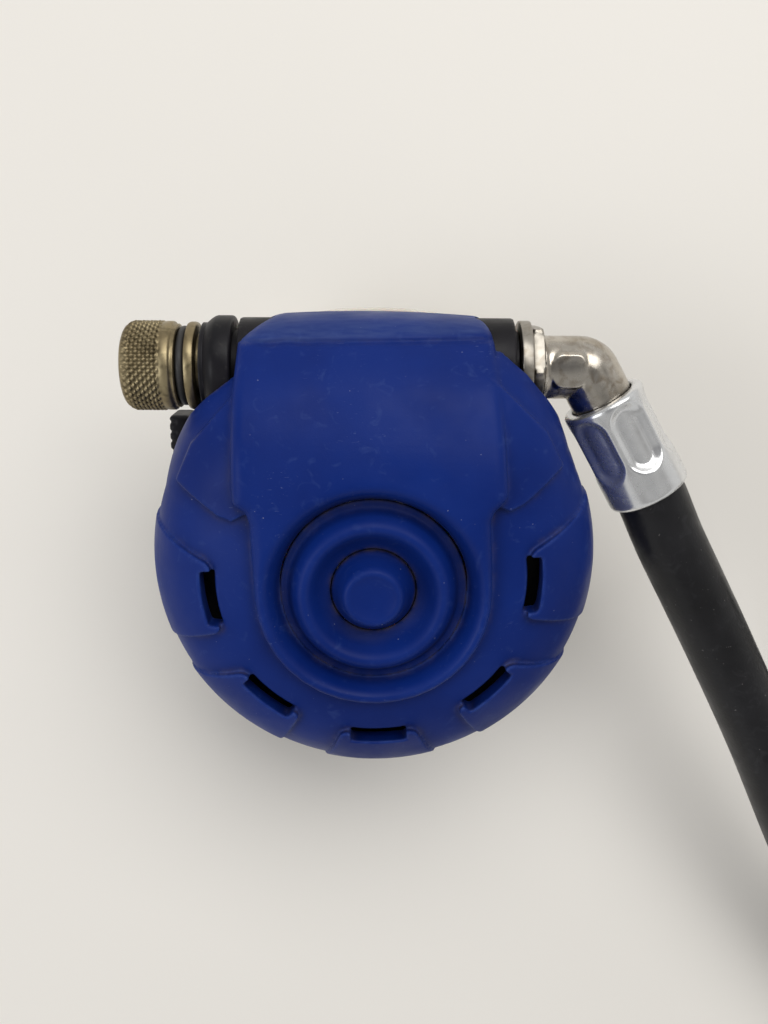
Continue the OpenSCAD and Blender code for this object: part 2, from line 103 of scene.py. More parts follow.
class Finish:
    """A material being put together from nodes, in millimetres of the model's frame."""

    def __init__(self, name, roughness, metallic=0.0, **sockets):
        self.material = bpy.data.materials.new(name)
        self.material.use_nodes = True
        self.nodes = self.material.node_tree.nodes
        self.links = self.material.node_tree.links
        self.shader = self.nodes["Principled BSDF"]
        self.shader.inputs["Metallic"].default_value = metallic
        self.shader.inputs["Roughness"].default_value = roughness
        for socket, value in sockets.items():
            self.shader.inputs[socket.replace("_", " ")].default_value = value
        place = self.node("ShaderNodeTexCoord")
        scale = self.node("ShaderNodeVectorMath", operation="SCALE")
        scale.inputs["Scale"].default_value = 1 / MM
        self.links.new(place.outputs["Object"], scale.inputs[0])
        self.mm = scale.outputs[0]
        self.colour = None
        self.normal = None

    def node(self, kind, **settings):
        made = self.nodes.new(kind)
        for key, value in settings.items():
            setattr(made, key, value)
        return made

    def noise(self, per_mm, detail=4.0, stretch=None, distortion=0.0):
        made = self.node("ShaderNodeTexNoise")
        made.inputs["Scale"].default_value = per_mm
        made.inputs["Detail"].default_value = detail
        made.inputs["Distortion"].default_value = distortion
        place = self.mm
        if stretch:
            wide = self.node("ShaderNodeVectorMath", operation="MULTIPLY")
            wide.inputs[1].default_value = stretch
            self.links.new(self.mm, wide.inputs[0])
            place = wide.outputs[0]
        self.links.new(place, made.inputs["Vector"])
        return made.outputs["Fac"]

    def ramp(self, value, low, high, to_low=0.0, to_high=1.0):
        """Runs from to_low to to_high as the value goes from low to high."""
        made = self.node("ShaderNodeMapRange", clamp=True)
        for socket, number in zip(("From Min", "From Max", "To Min", "To Max"),
                                  (low, high, to_low, to_high)):
            made.inputs[socket].default_value = number
        self.links.new(value, made.inputs["Value"])
        return made.outputs["Result"]

    def math(self, operation, a, b):
        made = self.node("ShaderNodeMath", operation=operation)
        for socket, value in enumerate((a, b)):
            if isinstance(value, (int, float)):
                made.inputs[socket].default_value = value
            else:
                self.links.new(value, made.inputs[socket])
        return made.outputs[0]

    def mix(self, share, a, b):
        """From colour a, where share is 0, to colour b."""
        made = self.node("ShaderNodeMix", data_type="RGBA")
        self.links.new(share, made.inputs["Factor"])
        for socket, value in zip(("A", "B"), (a, b)):
            target = [s for s in made.inputs if s.name == socket and s.type == "RGBA"][0]
            if isinstance(value, tuple):
                target.default_value = (*value, 1)
            else:
                self.links.new(value, target)
        return [s for s in made.outputs if s.type == "RGBA"][0]

    def paint(self, share, colour):
        """Puts a colour over what is there, where share is 1."""
        self.colour = self.mix(share, self.colour, colour)

    def mottle(self, first, second, per_mm=0.08, spread=0.12):
        """The ground: two near colours in soft patches."""
        self.colour = self.mix(self.ramp(self.noise(per_mm, 6), 0.5 - spread, 0.5 + spread),
                               first, second)

    def cavity(self, distance):
        """1 in grooves and inner corners."""
        made = self.node("ShaderNodeAmbientOcclusion", samples=6)
        made.inputs["Distance"].default_value = distance * MM
        return self.ramp(made.outputs["AO"], 0.35, 0.95, 1.0, 0.0)

    def edges(self, radius):
        """1 on the edges of the shape."""
        bevel = self.node("ShaderNodeBevel", samples=6)
        bevel.inputs["Radius"].default_value = radius * MM
        flat = self.node("ShaderNodeNewGeometry")
        dot = self.node("ShaderNodeVectorMath", operation="DOT_PRODUCT")
        self.links.new(bevel.outputs["Normal"], dot.inputs[0])
        self.links.new(flat.outputs["Normal"], dot.inputs[1])
        return self.ramp(dot.outputs["Value"], 0.93, 0.998, 1.0, 0.0)

    def rounded(self, radius):
        """Shades the edges as if they were rounded."""
        bevel = self.node("ShaderNodeBevel", samples=6)
        bevel.inputs["Radius"].default_value = radius * MM
        self.normal = bevel.outputs["Normal"]

    def bump(self, height, depth):
        made = self.node("ShaderNodeBump")
        made.inputs["Distance"].default_value = depth * MM
        self.links.new(height, made.inputs["Height"])
        if self.normal is not None:
            self.links.new(self.normal, made.inputs["Normal"])
        self.normal = made.outputs["Normal"]

    def rough(self, per_mm, detail, smooth, dull):
        """Roughness in patches, from smooth to dull."""
        self.links.new(self.ramp(self.noise(per_mm, detail), 0.35, 0.65, smooth, dull),
                       self.shader.inputs["Roughness"])

    def done(self):
        self.links.new(self.colour, self.shader.inputs["Base Color"])
        self.links.new(self.normal, self.shader.inputs["Normal"])
        return self.material


def cover_rubber():
    f = Finish("cobalt_rubber", 0.45, Sheen_Weight=0.02, Sheen_Roughness=0.3,
               Sheen_Tint=(0.55, 0.62, 0.8, 1), Specular_IOR_Level=0.11)
    f.mottle((0.002, 0.0145, 0.13), (0.0035, 0.0205, 0.165), 0.05)
    wear = f.noise(0.35, 8, distortion=1.2)
    f.paint(f.math("MULTIPLY", f.ramp(wear, 0.6, 0.75), 0.35), (0.03, 0.06, 0.22))
    # lighter edges: partly wear and dust, partly a painted highlight where the edges catch the
    # light
    edge = f.math("MULTIPLY", f.edges(0.8), f.ramp(f.noise(0.5), 0.35, 0.6, 0.15, 0.5))
    f.paint(edge, (0.05, 0.10, 0.34))
    # painted shade: a darker blue in the grooves and recesses, where shade falls
    f.paint(f.math("MULTIPLY", f.cavity(3.0), 0.75), (0.001, 0.004, 0.035))
    dirt = f.math("MULTIPLY", f.cavity(1.3), f.ramp(f.noise(0.35), 0.42, 0.6, 0.05, 0.5))
    f.paint(dirt, (0.11, 0.085, 0.075))
    scuff = f.math("MULTIPLY", f.ramp(f.noise(0.55, 2, (1, 5, 2), 2.0), 0.70, 0.74),
                   f.ramp(f.noise(0.06), 0.5, 0.65))
    f.paint(f.math("MULTIPLY", scuff, 0.3), (0.2, 0.26, 0.48))
    speck = f.ramp(f.noise(1.6, 1), 0.80, 0.82)
    f.paint(f.math("MULTIPLY", speck, 0.4), (0.4, 0.43, 0.55))
    # paler above the crease, where the cover bends over the barrel: a painted highlight on its
    # upper face
    up = f.node("ShaderNodeVectorMath", operation="DOT_PRODUCT")
    cover_up, cover_at = np.array(COVER)[:3, 1], np.array(COVER)[:3, 3]
    up.inputs[1].default_value = tuple(cover_up)
    f.links.new(f.mm, up.inputs[0])
    crease = float(cover_up @ cover_at) + CREASE_Y
    band = f.math("MULTIPLY", f.ramp(up.outputs["Value"], crease + 0.2, crease + 1.0),
                  f.ramp(f.noise(0.25, 5, (1, 5, 3)), 0.3, 0.6, 0.2, 0.45))
    f.paint(band, (0.055, 0.085, 0.22))
    f.rough(0.12, 6, 0.38, 0.55)
    f.bump(f.noise(3.5, 3), 0.012)
    f.bump(f.noise(0.25, 3), 0.05)
    return f.done()


def black_plastic():
    f = Finish("black_plastic", 0.4, Specular_IOR_Level=0.16)
    f.rounded(0.35)
    f.mottle((0.006, 0.006, 0.008), (0.012, 0.011, 0.014), 0.1)
    f.paint(f.math("MULTIPLY", f.edges(0.5), f.ramp(f.noise(0.6), 0.4, 0.6, 0.1, 0.5)),
            (0.06, 0.06, 0.07))
    f.paint(f.math("MULTIPLY", f.ramp(f.noise(0.9, 8), 0.62, 0.75), 0.25), (0.06, 0.055, 0.05))
    f.rough(0.2, 6, 0.34, 0.55)
    f.bump(f.noise(4, 3), 0.01)
    return f.done()


def black_rubber():
    f = Finish("black_rubber", 0.55)
    f.rounded(0.3)
    f.mottle((0.010, 0.010, 0.011), (0.020, 0.020, 0.021), 0.12)
    f.paint(f.math("MULTIPLY", f.ramp(f.noise(0.7, 8), 0.58, 0.78), 0.5), (0.11, 0.105, 0.10))
    f.rough(0.2, 6, 0.45, 0.68)
    f.bump(f.noise(2.5, 4), 0.02)
    return f.done()


def hose_rubber():
    f = Finish("hose_rubber", 0.35, Specular_IOR_Level=0.3)
    f.mottle((0.005, 0.005, 0.006), (0.010, 0.010, 0.012), 0.06)
    f.paint(f.math("MULTIPLY", f.ramp(f.noise(0.35, 9, distortion=1.0), 0.56, 0.72), 0.25),
            (0.04, 0.04, 0.045))
    f.paint(f.math("MULTIPLY", f.ramp(f.noise(1.4, 2), 0.72, 0.78), 0.5), (0.18, 0.17, 0.17))
    f.rough(0.25, 6, 0.28, 0.42)
    f.bump(f.noise(1.8, 4), 0.03)
    return f.done()


def silicone():
    f = Finish("silicone", 0.36, Transmission_Weight=0.35, IOR=1.41,
               Subsurface_Weight=0.35, Subsurface_Scale=0.004)
    f.mottle((0.60, 0.56, 0.47), (0.70, 0.67, 0.58), 0.06)
    f.paint(f.math("MULTIPLY", f.cavity(2.0), 0.5), (0.42, 0.36, 0.26))
    f.rough(0.2, 5, 0.28, 0.45)
    f.bump(f.noise(1.2, 3), 0.02)
    return f.done()


def metal(name, first, second, tarnish, roughness, amount=0.5, grain=0.006,
          rounding=0.25, metallic=1.0):
    """A plated or bare metal with stains, dirt in its corners and a fine grain."""
    f = Finish(name, roughness[0], metallic)
    if rounding:
        f.rounded(rounding)
    f.mottle(first, second, 0.15)
    f.paint(f.math("MULTIPLY", f.ramp(f.noise(0.45, 8, distortion=0.8), 0.5, 0.7), amount),
            tarnish)
    f.paint(f.math("MULTIPLY", f.cavity(0.9), 0.75), tuple(0.3 * c for c in tarnish))
    f.rough(0.5, 8, *roughness)
    f.bump(f.noise(2.5, 6), grain)
    return f.done()


def white_plastic():
    f = Finish("white_plastic", 0.4)
    f.rounded(0.2)
    f.mottle((0.55, 0.54, 0.50), (0.66, 0.65, 0.62), 0.2)
    f.bump(f.noise(4, 2), 0.01)
    return f.done()


CREASE_Y = 38.2                  # of the crease across the cover's shoulder, in its own frame

MATERIALS = {
    "cover_rubber": cover_rubber(),
    "black_plastic": black_plastic(),
    "black_rubber": black_rubber(),
    "hose_rubber": hose_rubber(),
    "silicone": silicone(),
    "knob_brass": metal("worn_brass", (0.25, 0.20, 0.115), (0.36, 0.30, 0.18),
                        (0.10, 0.08, 0.045), (0.34, 0.5), 0.75),
    "brass": metal("bright_brass", (0.62, 0.47, 0.22), (0.70, 0.55, 0.28), (0.4, 0.3, 0.15),
                   (0.25, 0.4)),
    "nickel": metal("satin_nickel", (0.42, 0.385, 0.33), (0.53, 0.495, 0.44),
                    (0.24, 0.185, 0.125), (0.17, 0.32), 0.65),
    "dull_nickel": metal("dull_nickel", (0.30, 0.28, 0.245), (0.38, 0.355, 0.315),
                         (0.16, 0.13, 0.09), (0.3, 0.45), 0.6),
    "chrome": metal("chrome", (0.72, 0.73, 0.74), (0.78, 0.79, 0.80), (0.5, 0.5, 0.5),
                    (0.2, 0.3), 0.15, 0.002, 0, 0.88),
    "steel": metal("steel", (0.55, 0.55, 0.56), (0.62, 0.62, 0.63), (0.4, 0.38, 0.36),
                   (0.25, 0.4), 0.3),
    "white_plastic": white_plastic(),
}


# Mesh tools


def piece(name, points, faces, place, body, slot, nodes=(), finish=None, sharp=180):
    """A named piece from points in mm of a frame. Its finish is the slot's unless it's given."""
    mesh = bpy.data.meshes.new(name)
    mesh.from_pydata(metres(place, points).tolist(), [], [list(map(int, f)) for f in faces])
    mesh.validate()
    made = bpy.data.objects.new(name, mesh)
    bpy.context.scene.collection.objects.link(made)
    mesh.shade_smooth()
    if sharp < 180:
        mesh.set_sharp_from_angle(angle=math.radians(sharp))
    mesh.materials.append(MATERIALS[finish or slot])
    if body:
        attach(made, body)
    if nodes:
        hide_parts(*nodes)
    return made


def soft_min(a, b, k):
    """The union of two solids, with a fillet of about k."""
    h = np.clip(0.5 + 0.5 * (b - a) / k, 0, 1)
    return b + (a - b) * h - k * h * (1 - h)


def soft_max(a, b, k):
    """Where two solids overlap, with a rounding of about k."""
    return -soft_min(-a, -b, k)


def oval(x, y, w, h):
    """Signed distance to a flat oval, w wide and h high."""
    half = (w - h) / 2
    return np.hypot(np.maximum(abs(x) - half, 0), y) - h / 2


def outline(px, py, points):
    """Signed distance to a closed outline, negative inside."""
    px, py = np.broadcast_arrays(px, py)
    best = np.full(px.shape, 1e6, np.float32)
    inside = np.zeros(px.shape, bool)
    for (ax, ay), (bx, by) in zip(points, points[1:] + points[:1]):
        ex, ey = bx - ax, by - ay
        t = np.clip(((px - ax) * ex + (py - ay) * ey) / (ex * ex + ey * ey), 0, 1)
        best = np.minimum(best, (px - ax - ex * t) ** 2 + (py - ay - ey * t) ** 2)
        if ay != by:
            inside ^= ((ay > py) != (by > py)) & (px < ex * (py - ay) / ey + ax)
    return np.where(inside, -1, 1) * np.sqrt(best)


def eased(points, times=2, closed=True):
    """An outline with its corners cut, over and over."""
    for _ in range(times):
        cut = []
        for a, b in zip(points, points[1:] + (points[:1] if closed else [])):
            a, b = np.array(a, float), np.array(b, float)
            cut += [tuple(a * 0.75 + b * 0.25), tuple(a * 0.25 + b * 0.75)]
        points = cut if closed else [points[0]] + cut[1:-1] + [points[-1]]
    return points


def carved(name, low, high, step, field, place, *rest, **more):
    """A piece cut from a block of space, where field(x, y, z) is below zero."""
    low, high = np.array(low, float), np.array(high, float)
    axes = [np.arange(a - 2 * step, b + 3 * step, step, dtype=np.float32)
            for a, b in zip(low, high)]
    x, y, z = np.meshgrid(*axes, indexing="ij", sparse=True)
    values = np.clip(field(x, y, z), -3 * step, 3 * step).astype(np.float32)
    grid = openvdb.FloatGrid(3 * step)
    grid.copyFromArray(np.ascontiguousarray(values))
    points, quads = grid.convertToQuads(0.0)
    return piece(name, points * step + low - 2 * step, quads[:, ::-1], place, *rest, **more)


def lathe(name, profile, place, *rest, n=96, wave=None, **more):
    """A turned piece from (radius, height) pairs; a closed profile makes a ring."""
    closed = min(r for r, _ in profile) > 0
    a = np.arange(n) * 2 * math.pi / n
    rows = np.array(profile, float)
    radius = np.repeat(rows[:, :1], n, 1)
    height = np.repeat(rows[:, 1:], n, 1)
    if wave is not None:
        radius, height = wave(radius, height, a[None, :])
    points = np.stack([radius * np.cos(a), radius * np.sin(a), height], -1).reshape(-1, 3)
    m = len(rows)
    faces = []
    for i in range(m if closed else m - 1):
        j = (i + 1) % m
        for k in range(n):
            l = (k + 1) % n
            quad = [i * n + k, i * n + l, j * n + l, j * n + k]
            if rows[i, 0] == 0:
                quad = [i * n, j * n + l, j * n + k]
            elif rows[j, 0] == 0:
                quad = [i * n + k, i * n + l, j * n]
            faces.append(quad)
    return piece(name, points, faces, place, *rest, **more)


# Hose: from the sleeve down towards the surface, over the coil's outer turn and round

ROUTE = [(43.85, 3.64, 46.6), (47.4, -3.6, 44.6), (52.1, -12, 42.2), (56.6, -20, 39.8),
         (61, -28, 37.4), (65.3, -36, 35), (69.5, -44.2, 32.6), (73.5, -52.6, 30.2),
         (77.5, -61, 27.8), (81.7, -69.4, 25.6), (86.5, -77.6, 23.6), (92.3, -85.4, 21.8),
         (98.9, -92.8, 20.4), (106.3, -99.8, 19.2), (114.5, -106.4, 17.4), (123.5, -112.4, 15)]
HOSE_R = 6.25
COIL_AT = np.array([163.0, -68.0, 0.0])
COIL_FROM, COIL_TURNED = 242, 504  # where the coil begins and how far it goes, in degrees
COIL_R, COIL_PITCH = 57.5, 12.9
COIL_TOP = 12.2                  # height at the coil's start, which lies on its own turn


def coil_point(a):
    """The coil's middle line, a degrees after it begins."""
    t = min(a / 40, 1)           # down to the surface in the first 40 degrees
    r = COIL_R + COIL_PITCH * a / 360
    turned = math.radians(COIL_FROM + a)
    z = COIL_TOP + (HOSE_R - COIL_TOP) * t * t * (3 - 2 * t)
    return COIL_AT + [r * math.cos(turned), r * math.sin(turned), z]


def smooth_line(points, steps):
    """A curve through the points, with that many steps between them."""
    p = [np.array(q, float) for q in points]
    line = []
    for i in range(len(p) - 1):
        a, b, c, d = p[max(i - 1, 0)], p[i], p[i + 1], p[min(i + 2, len(p) - 1)]
        for k in range(steps):
            t = k / steps
            line.append(0.5 * (2 * b + (c - a) * t + (2 * a - 5 * b + 4 * c - d) * t * t
                               + (3 * b - a - 3 * c + d) * t ** 3))
    return line + [p[-1]]


END = (shift(*coil_point(COIL_TURNED)) @ turn(COIL_FROM + COIL_TURNED, "Z")
       @ turn(-90, "X"))
sleeve_out = metres(OUTLET, [(0, 0, 22.5)])[0] / MM
end_in = metres(END, [(0, 0, 8)])[0] / MM
hose_points = [sleeve_out, *ROUTE, *[coil_point(a) for a in range(0, COIL_TURNED + 1, 14)],
               end_in]
hose_line = smooth_line(hose_points, 4)

hose_data = bpy.data.curves.new("hose", "CURVE")
hose_data.dimensions = "3D"
hose_data.bevel_depth = HOSE_R * MM
hose_data.bevel_resolution = 10
hose_data.use_fill_caps = True
spline = hose_data.splines.new("POLY")
spline.points.add(len(hose_line) - 1)
for point, at in zip(spline.points, hose_line):
    point.co = (*(at * MM), 1)
spline.use_smooth = True
hose = bpy.data.objects.new("rubber_hose", hose_data)
bpy.context.scene.collection.objects.link(hose)
hose_data.materials.append(MATERIALS["hose_rubber"])
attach(hose, "inlet")
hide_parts("hose", "hose_coil")


# Front cover

DOME_R, DOME_H, FULLNESS = 38.7, 20.5, 2.7
WALL, SKIRT = 2.0, 6.0
SLOT_HALF_W, SLOT_HALF_L = 1.2, 4.8
PURGE_Y = -1.6                   # the purge sits a little below the dome's centre
# how far the rim stands out beside the bib, by angle
SHOULDERS = ((22, 28, 34, 42, 50, 58, 66, 116, 123, 132, 146, 158),
             (0, 0.4, 1.4, 3.0, 4.3, 4.6, 0, 0, 2.6, 2.4, 1.3, 0))
# each slot's angle, radius and the side its scoop leans to
SLOTS = [(-175.5, 27.4, 1), (-132.5, 27.8, 1), (-90.5, 28.6, 0), (-47.8, 27.8, -1),
         (-3.5, 26.6, -1)]
BIB_R = 19.3                     # of the bib's round end, just below the purge
BIB = [(-15.3, 50), (-15.4, 43.4), (-20.9, 38.7), (-21.5, 31), (-21.9, 15.2), (-21.6, 14.3),
       (-19.8, 13), (-BIB_R, 11.2), (-BIB_R, 4)] + [
    (BIB_R * math.cos(math.radians(a)), BIB_R * math.sin(math.radians(a)) + PURGE_Y)
    for a in range(180, 361, 10)] + [
    (BIB_R, 4), (19.2, 10.2), (19.8, 11.7), (21.7, 13.4), (22, 14.3), (21.8, 30), (21.4, 37),
    (20.6, 42), (20.3, 50)]
# the bib from the side: distance up the cover, height
BIB_SIDE = eased([(-26, -6), (-26, 20.5), (-21, 21.9), (-10, 22.8), (12, 22.8), (22, 21.4),
                  (30, 17.6), (34, 14.6), (37.2, 11.4), (40.7, 8.4), (42.1, 5), (42.5, 0),
                  (42.1, -6)], 3)


def dome(r, z, radius, height):
    """Signed distance to the dome and, below the rim, to its skirt."""
    n = FULLNESS
    up = np.maximum(z, 1e-3)
    g = (r / radius) ** n + (up / height) ** n
    size = g ** (1 / n)
    slope = g ** (1 / n - 1) * np.hypot(r ** (n - 1) / radius ** n,
                                        up ** (n - 1) / height ** n)
    return np.where(z > 0, (size - 1) / np.maximum(slope, 1e-3), r - radius - 0.13 * z)


def cover_field(x, y, z):
    """The cover in its own frame."""
    r = np.hypot(x, y)
    angle = np.degrees(np.arctan2(y, x))
    outer = dome(r * DOME_R / (DOME_R + np.interp(angle, *SHOULDERS)), z, DOME_R, DOME_H)
    body = outer
    # thin plates between the bib and the rim
    wing = [(17, 14), (22.4, 11.2), (24.8, 12), (32.2, 17), (29.2, 23), (21.8, 30.6),
            (17, 34)]
    plate = outline(abs(x), y, wing)
    body = soft_min(body, soft_max(outer - 0.95, plate, 0.35), 0.25)
    # scoops behind the slots
    slots = np.float32(1e3)
    for middle, at, side in SLOTS:
        a = (angle - middle + 180) % 360 - 180
        spread = (r - 27) / 8.5
        near = 12.9 + spread * (4.4 if side > 0 else 0.4 if side < 0 else 2)
        far = 12.9 + spread * (4.4 if side < 0 else 0.4 if side > 0 else 2)
        across = np.maximum(-a - near, a - far) * r * math.radians(1)
        wedge = soft_max(across, at - SLOT_HALF_W + 0.5 - r, 1.6)
        lift = 0.45 + 0.9 * np.clip((37 - r) / 9, 0, 1)
        body = soft_min(body, soft_max(outer - lift, wedge, 0.35), 0.2)
        hole = soft_max(abs(r - at) - SLOT_HALF_W,
                        abs(a) * r * math.radians(1) - SLOT_HALF_L, 0.5)
        slots = np.minimum(slots, hole)
    # raised bib with the recess for the purge
    crown = z + 0.5 * (x / 22) ** 2
    level = y + 0.042 * x + 0.9 * (x / 20) ** 2
    side = outline(level, crown, BIB_SIDE)
    # a thin crease across its shoulder, uneven at the left
    wavy = CREASE_Y - 0.03 * x + 0.18 * np.sin(x * 0.9) * np.clip((-x - 6) / 8, 0, 1)
    side = side + 0.42 * np.exp(-((y - wavy) / 0.4) ** 2) * (z > 7)
    bib = soft_max(outline(x, y, BIB), side, 2.2)
    body = soft_min(body, bib, 0.5)
    body = soft_max(body, -SKIRT - z, 0.6)
    purge_r = np.hypot(x, y - PURGE_Y)
    recess = soft_max(purge_r - 17.8 + np.clip(22.8 - z, 0, 5) * 0.45, 17.7 - z, 0.8)
    body = soft_max(body, -recess, 1.6)
    body = soft_max(body, -(purge_r - 14.9), 0.3)
    body = soft_max(body, -slots, 0.4)
    # hollow inside, and room for the barrel
    inner = dome(r, z, DOME_R - WALL - 0.6, DOME_H - WALL)
    body = np.maximum(body, -inner)
    along = math.radians(COVER_TURN)
    by = x * math.sin(along) + y * math.cos(along) - BARREL_Y
    body = soft_max(body, 8.35 - np.hypot(by, z), 0.4)
    under = np.maximum(np.maximum(abs(x) - 25, abs(by - 3.75) - 3.75), z)
    return np.maximum(body, -under)


COVER_STEP = 0.3
carved("blue_cover", (-40.6, -40.6, -6.2), (40.6, 43.8, 23.4), COVER_STEP, cover_field, COVER,
       "housing", "cover_rubber", ("front_cover",))


# Purge membrane in twelve sectors, between the housing and the button

PURGE = CASE @ shift(0, PURGE_Y, 0)
SECTORS = 12
MEMBRANE = [(7.05, 17.5), (7.3, 17.9), (8.2, 18.25), (9.0, 18.9), (9.6, 19.8), (10.2, 20.8),
            (10.8, 21.35), (11.4, 21.5), (12, 21.35), (12.6, 20.8), (13.2, 19.8),
            (13.6, 18.9), (14.0, 18.2), (14.5, 17.95), (15.3, 17.95), (15.5, 17.5),
            (15.3, 17.1), (14.3, 17.1), (13.2, 17.9), (12.2, 19.4), (11.4, 19.8),
            (10.6, 19.4), (9.4, 17.9), (8.4, 17.2), (7.4, 17.1)]


def membrane_sectors():
    """Makes the sectors, with normals that run on from each to the next."""
    rows = np.array(eased(MEMBRANE, 2))
    tangent = np.roll(rows, -1, 0) - np.roll(rows, 1, 0)
    out = np.stack([-tangent[:, 1], tangent[:, 0]], 1)
    out /= np.linalg.norm(out, axis=1)[:, None]
    steps, m = 12, len(rows)
    w = steps + 1
    for s in range(SECTORS):
        a = np.radians(360 / SECTORS * (s + np.arange(w) / steps))
        grid = np.stack([rows[:, :1] * np.cos(a), rows[:, :1] * np.sin(a),
                         np.repeat(rows[:, 1:], w, 1)], -1)
        normals = np.stack([out[:, :1] * np.cos(a), out[:, :1] * np.sin(a),
                            np.repeat(out[:, 1:], w, 1)], -1)
        faces = [[i * w + k, (i + 1) % m * w + k, (i + 1) % m * w + k + 1, i * w + k + 1]
                 for i in range(m) for k in range(steps)]
        made = piece(f"purge_ring_{s + 1:02d}", grid.reshape(-1, 3), faces, PURGE, None,
                     "cover_rubber", ("purge_membrane",))
        world = normals.reshape(-1, 3) @ np.array(PURGE)[:3, :3].T
        made.data.normals_split_custom_set_from_vertices(world.tolist())
        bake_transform(made)


membrane_sectors()

lathe("purge_button", eased([(0, 8.85), (2.4, 8.85), (2.4, 16.9), (5.8, 16.9), (6.9, 17.1),
                             (7.0, 17.6), (6.8, 18.2), (6.2, 18.8), (5.5, 20.2), (5.1, 21.4),
                             (4.6, 22.1), (4.0, 22.2), (3.3, 21.95), (2.0, 21.7), (0, 21.6)],
                            2, False),
      PURGE, "purge", "cover_rubber", ("purge_button",))


# Knob, collars and rings along the barrel


def steps(start, end, size):
    """Heights from start to end in even steps of about that size."""
    return np.linspace(start, end, max(2, int(abs(end - start) / size) + 1))


KNURL = (-42.2, -36.0)           # where the knurl begins and ends along the barrel


def knurl(radius, height, a):
    """Cuts a crossed knurl of 36 teeth into the knob's rim."""
    near = np.clip((height - KNURL[0]) / 0.4, 0, 1) * np.clip((KNURL[1] - height) / 0.4, 0, 1)
    near = near * (radius > 6.6)
    cut = np.abs(np.sin(18 * a + 2.3 * height) * np.sin(18 * a - 2.3 * height))
    return radius - near * 0.5 * (1 - np.minimum(cut * 1.3, 1)), height


lathe("knurled_knob",
      [(0, -42.2), (4.2, -42.2), (4.5, -42.3), (4.8, -42.75), (5.8, -42.8), (6.2, -42.74),
       (6.6, -42.55), (6.95, -42.3), (7.25, -42.0), (7.45, -41.7), (7.6, -41.4)]
      + [(7.7, h) for h in steps(-41.1, -36.2, 0.14)] +
      [(7.6, -36.1), (7.5, -35.95), (7.55, -35.7), (7.6, -35.5), (7.6, -34.5), (7.5, -34.3),
       (7.2, -34.2), (7.1, -34.0), (7.15, -33.6), (6.9, -33.42), (2.6, -33.4), (2.6, -34.6),
       (0, -34.6)],
      BARREL, "knob", "knob_brass", ("knob",), n=432, wave=knurl, sharp=60)
lathe("packing_ring", [(2.6, -31.9), (6.9, -31.9), (7.35, -31.75), (7.5, -31.4), (7.5, -30.7),
                       (7.35, -30.3), (7.0, -30.12), (5.6, -30.1), (5.5, -29.9), (5.5, -28.9),
                       (2.6, -28.9)],
      BARREL, "housing", "knob_brass", ("packing_collar",), sharp=40)


def ring_section(middle, wire, at):
    """A round wire's section, for an O-ring."""
    return [(middle + wire * math.cos(t), at + wire * math.sin(t))
            for t in np.arange(24) * 2 * math.pi / 24]


lathe("stem_ring", ring_section(6.1, 0.72, -32.65), BARREL, "housing", "black_rubber",
      ("stem_o_ring",))


def hexagon(corner, from_r, turned):
    """Cuts six flats round a turned piece, as a spanner needs."""
    def wave(radius, height, a):
        part = math.pi / 3
        flat = (corner * math.cos(math.pi / 6)
                / np.cos((a - turned + part / 2) % part - part / 2))
        return np.where(radius > from_r, np.minimum(radius, flat), radius), height
    return wave


lathe("black_collar", [(5.7, -29.1), (6.6, -29.1), (7.1, -28.95), (8.1, -27.75), (8.5, -27.1),
                       (8.6, -26.7), (8.6, -24.4), (8.5, -24.1), (8.3, -23.95), (6.3, -23.95),
                       (6.3, -28.3), (5.7, -28.4)],
      BARREL, "housing", "black_plastic", ("barrel_collar",), n=192, sharp=40)
lathe("inlet_washer_ring", [(5.25, 24.55), (7.6, 24.55), (7.85, 24.7), (7.9, 24.9),
                            (7.9, 26.3), (7.8, 26.5), (7.6, 26.6), (5.25, 26.6)],
      BARREL, "housing", "nickel", ("inlet_washer",), "dull_nickel", sharp=40)
lathe("inlet_hex_nut", [(5.25, 26.66), (7.4, 26.66), (7.85, 26.95), (7.85, 28.1),
                        (7.3, 28.45), (6.6, 28.52), (5.6, 28.52), (5.25, 28.5)],
      BARREL, "housing", "nickel", ("inlet_nut",), "dull_nickel", n=192,
      wave=hexagon(7.85, 6, math.pi / 6), sharp=30)


# Elbow and sleeve

ELBOW_R = 5.4


def tube_along(line, x, y, z, radius):
    """Signed distance to a round bar along a line of points."""
    best = np.float32(1e3)
    for a, b in zip(line, line[1:]):
        a, b = np.array(a, float), np.array(b, float)
        d = b - a
        t = np.clip(((x - a[0]) * d[0] + (y - a[1]) * d[1] + (z - a[2]) * d[2]) / (d @ d), 0, 1)
        best = np.minimum(best, np.sqrt((x - a[0] - t * d[0]) ** 2 + (y - a[1] - t * d[1]) ** 2
                                        + (z - a[2] - t * d[2]) ** 2))
    return best - radius


